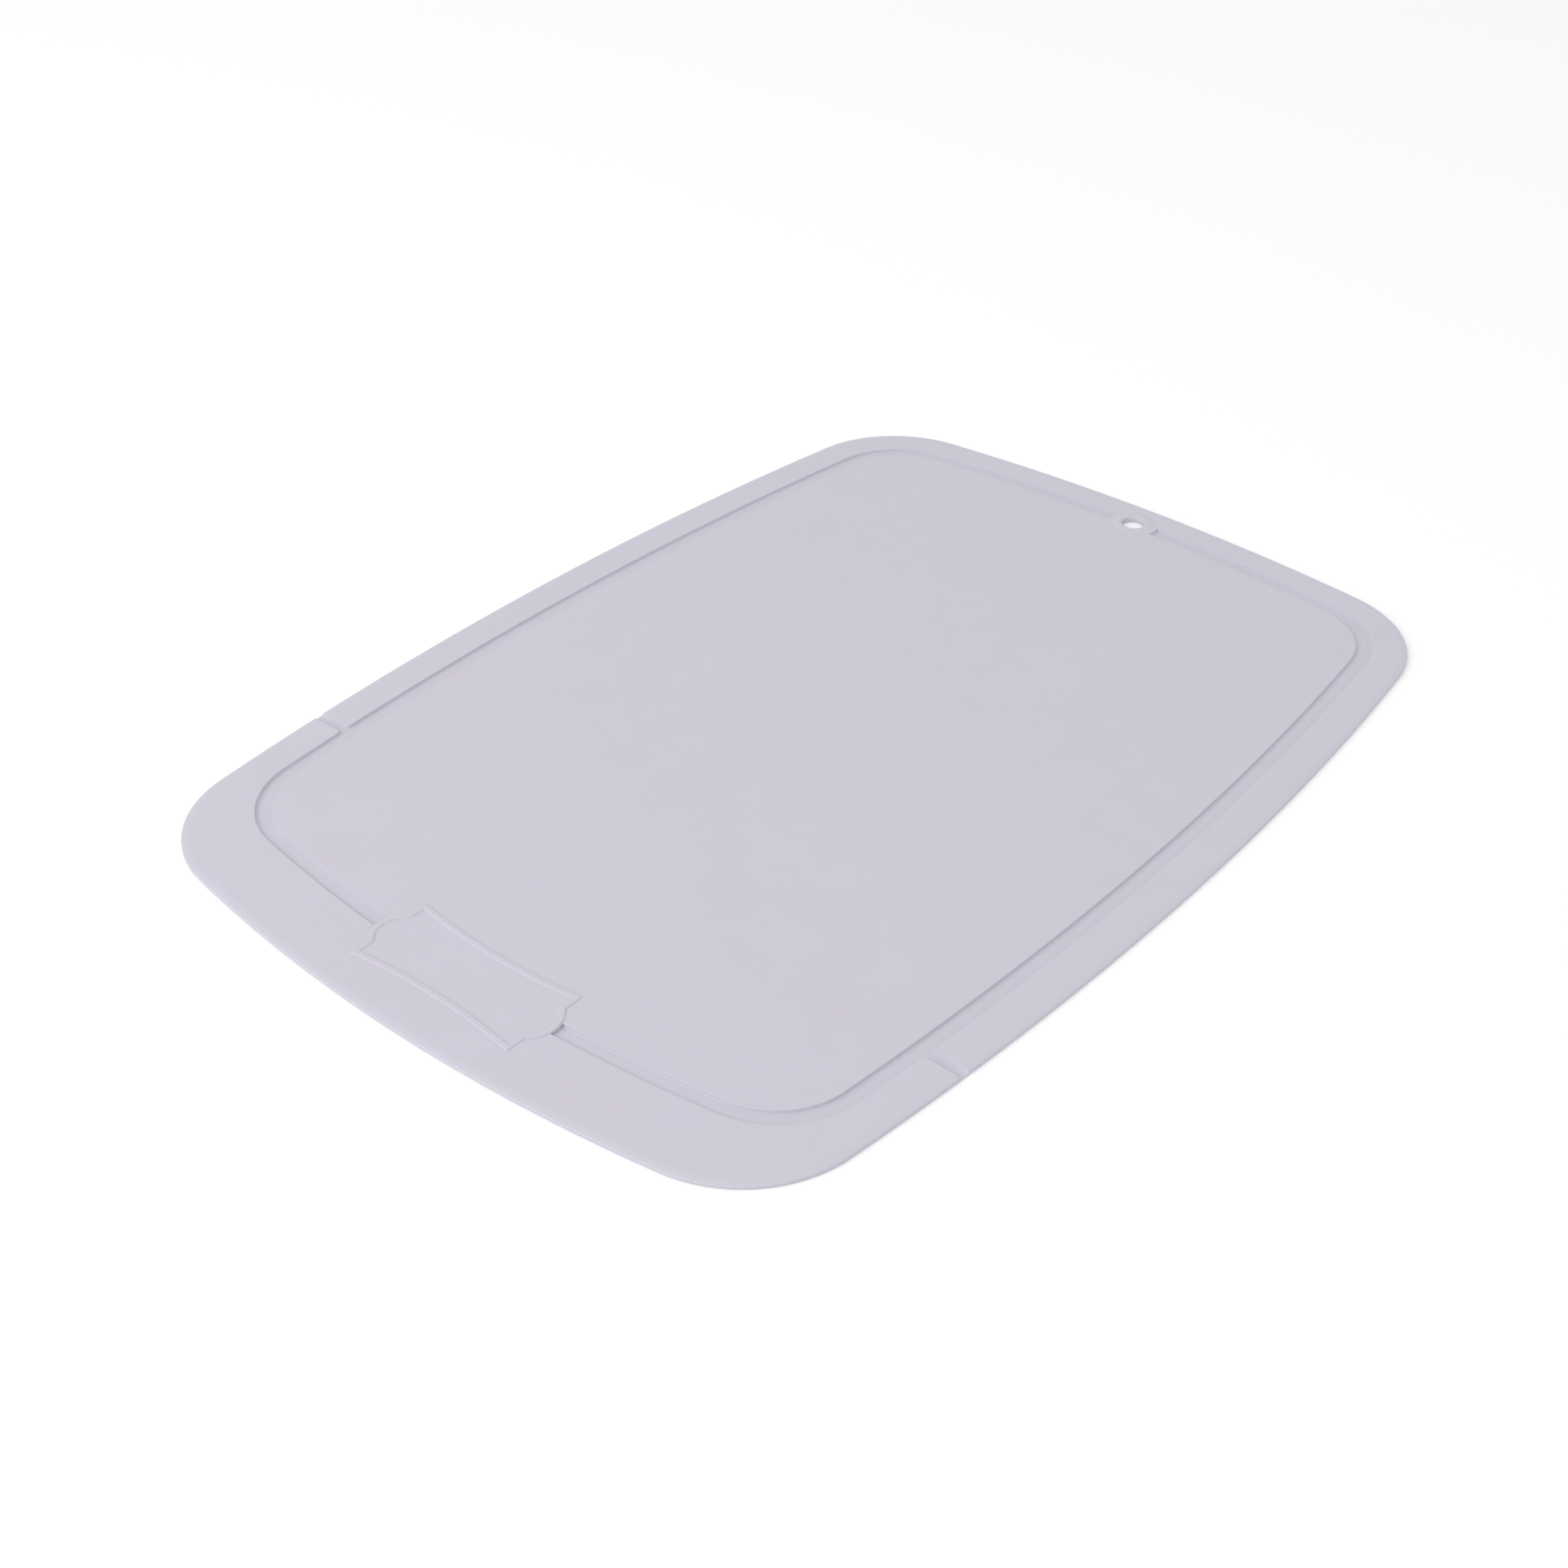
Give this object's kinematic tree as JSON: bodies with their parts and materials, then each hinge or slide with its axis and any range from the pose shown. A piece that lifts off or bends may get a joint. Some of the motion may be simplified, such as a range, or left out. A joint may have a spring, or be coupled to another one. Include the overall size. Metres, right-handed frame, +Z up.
{
  "type": "cutting board",
  "caption": "Thin rectangular plastic cutting board with bowed sides, a juice groove, pour channels, a bordered label plate and a hanging eyelet.",
  "frame": {"origin": "centre of the underside, on the surface that the board lies on", "axes": "+X to the right across the width, +Y along the length towards the hanging eyelet, +Z up out of the cutting face"},
  "size_m": [0.25, 0.36, 0.0021],
  "materials": {
    "board_plastic": "satin",
    "label_plastic": "satin",
    "eyelet_plastic": "satin"
  },
  "bodies": {
    "root": {"board": "board_plastic", "label_plate": "label_plastic", "hanging_eyelet": "eyelet_plastic"}
  },
  "joints": []
}
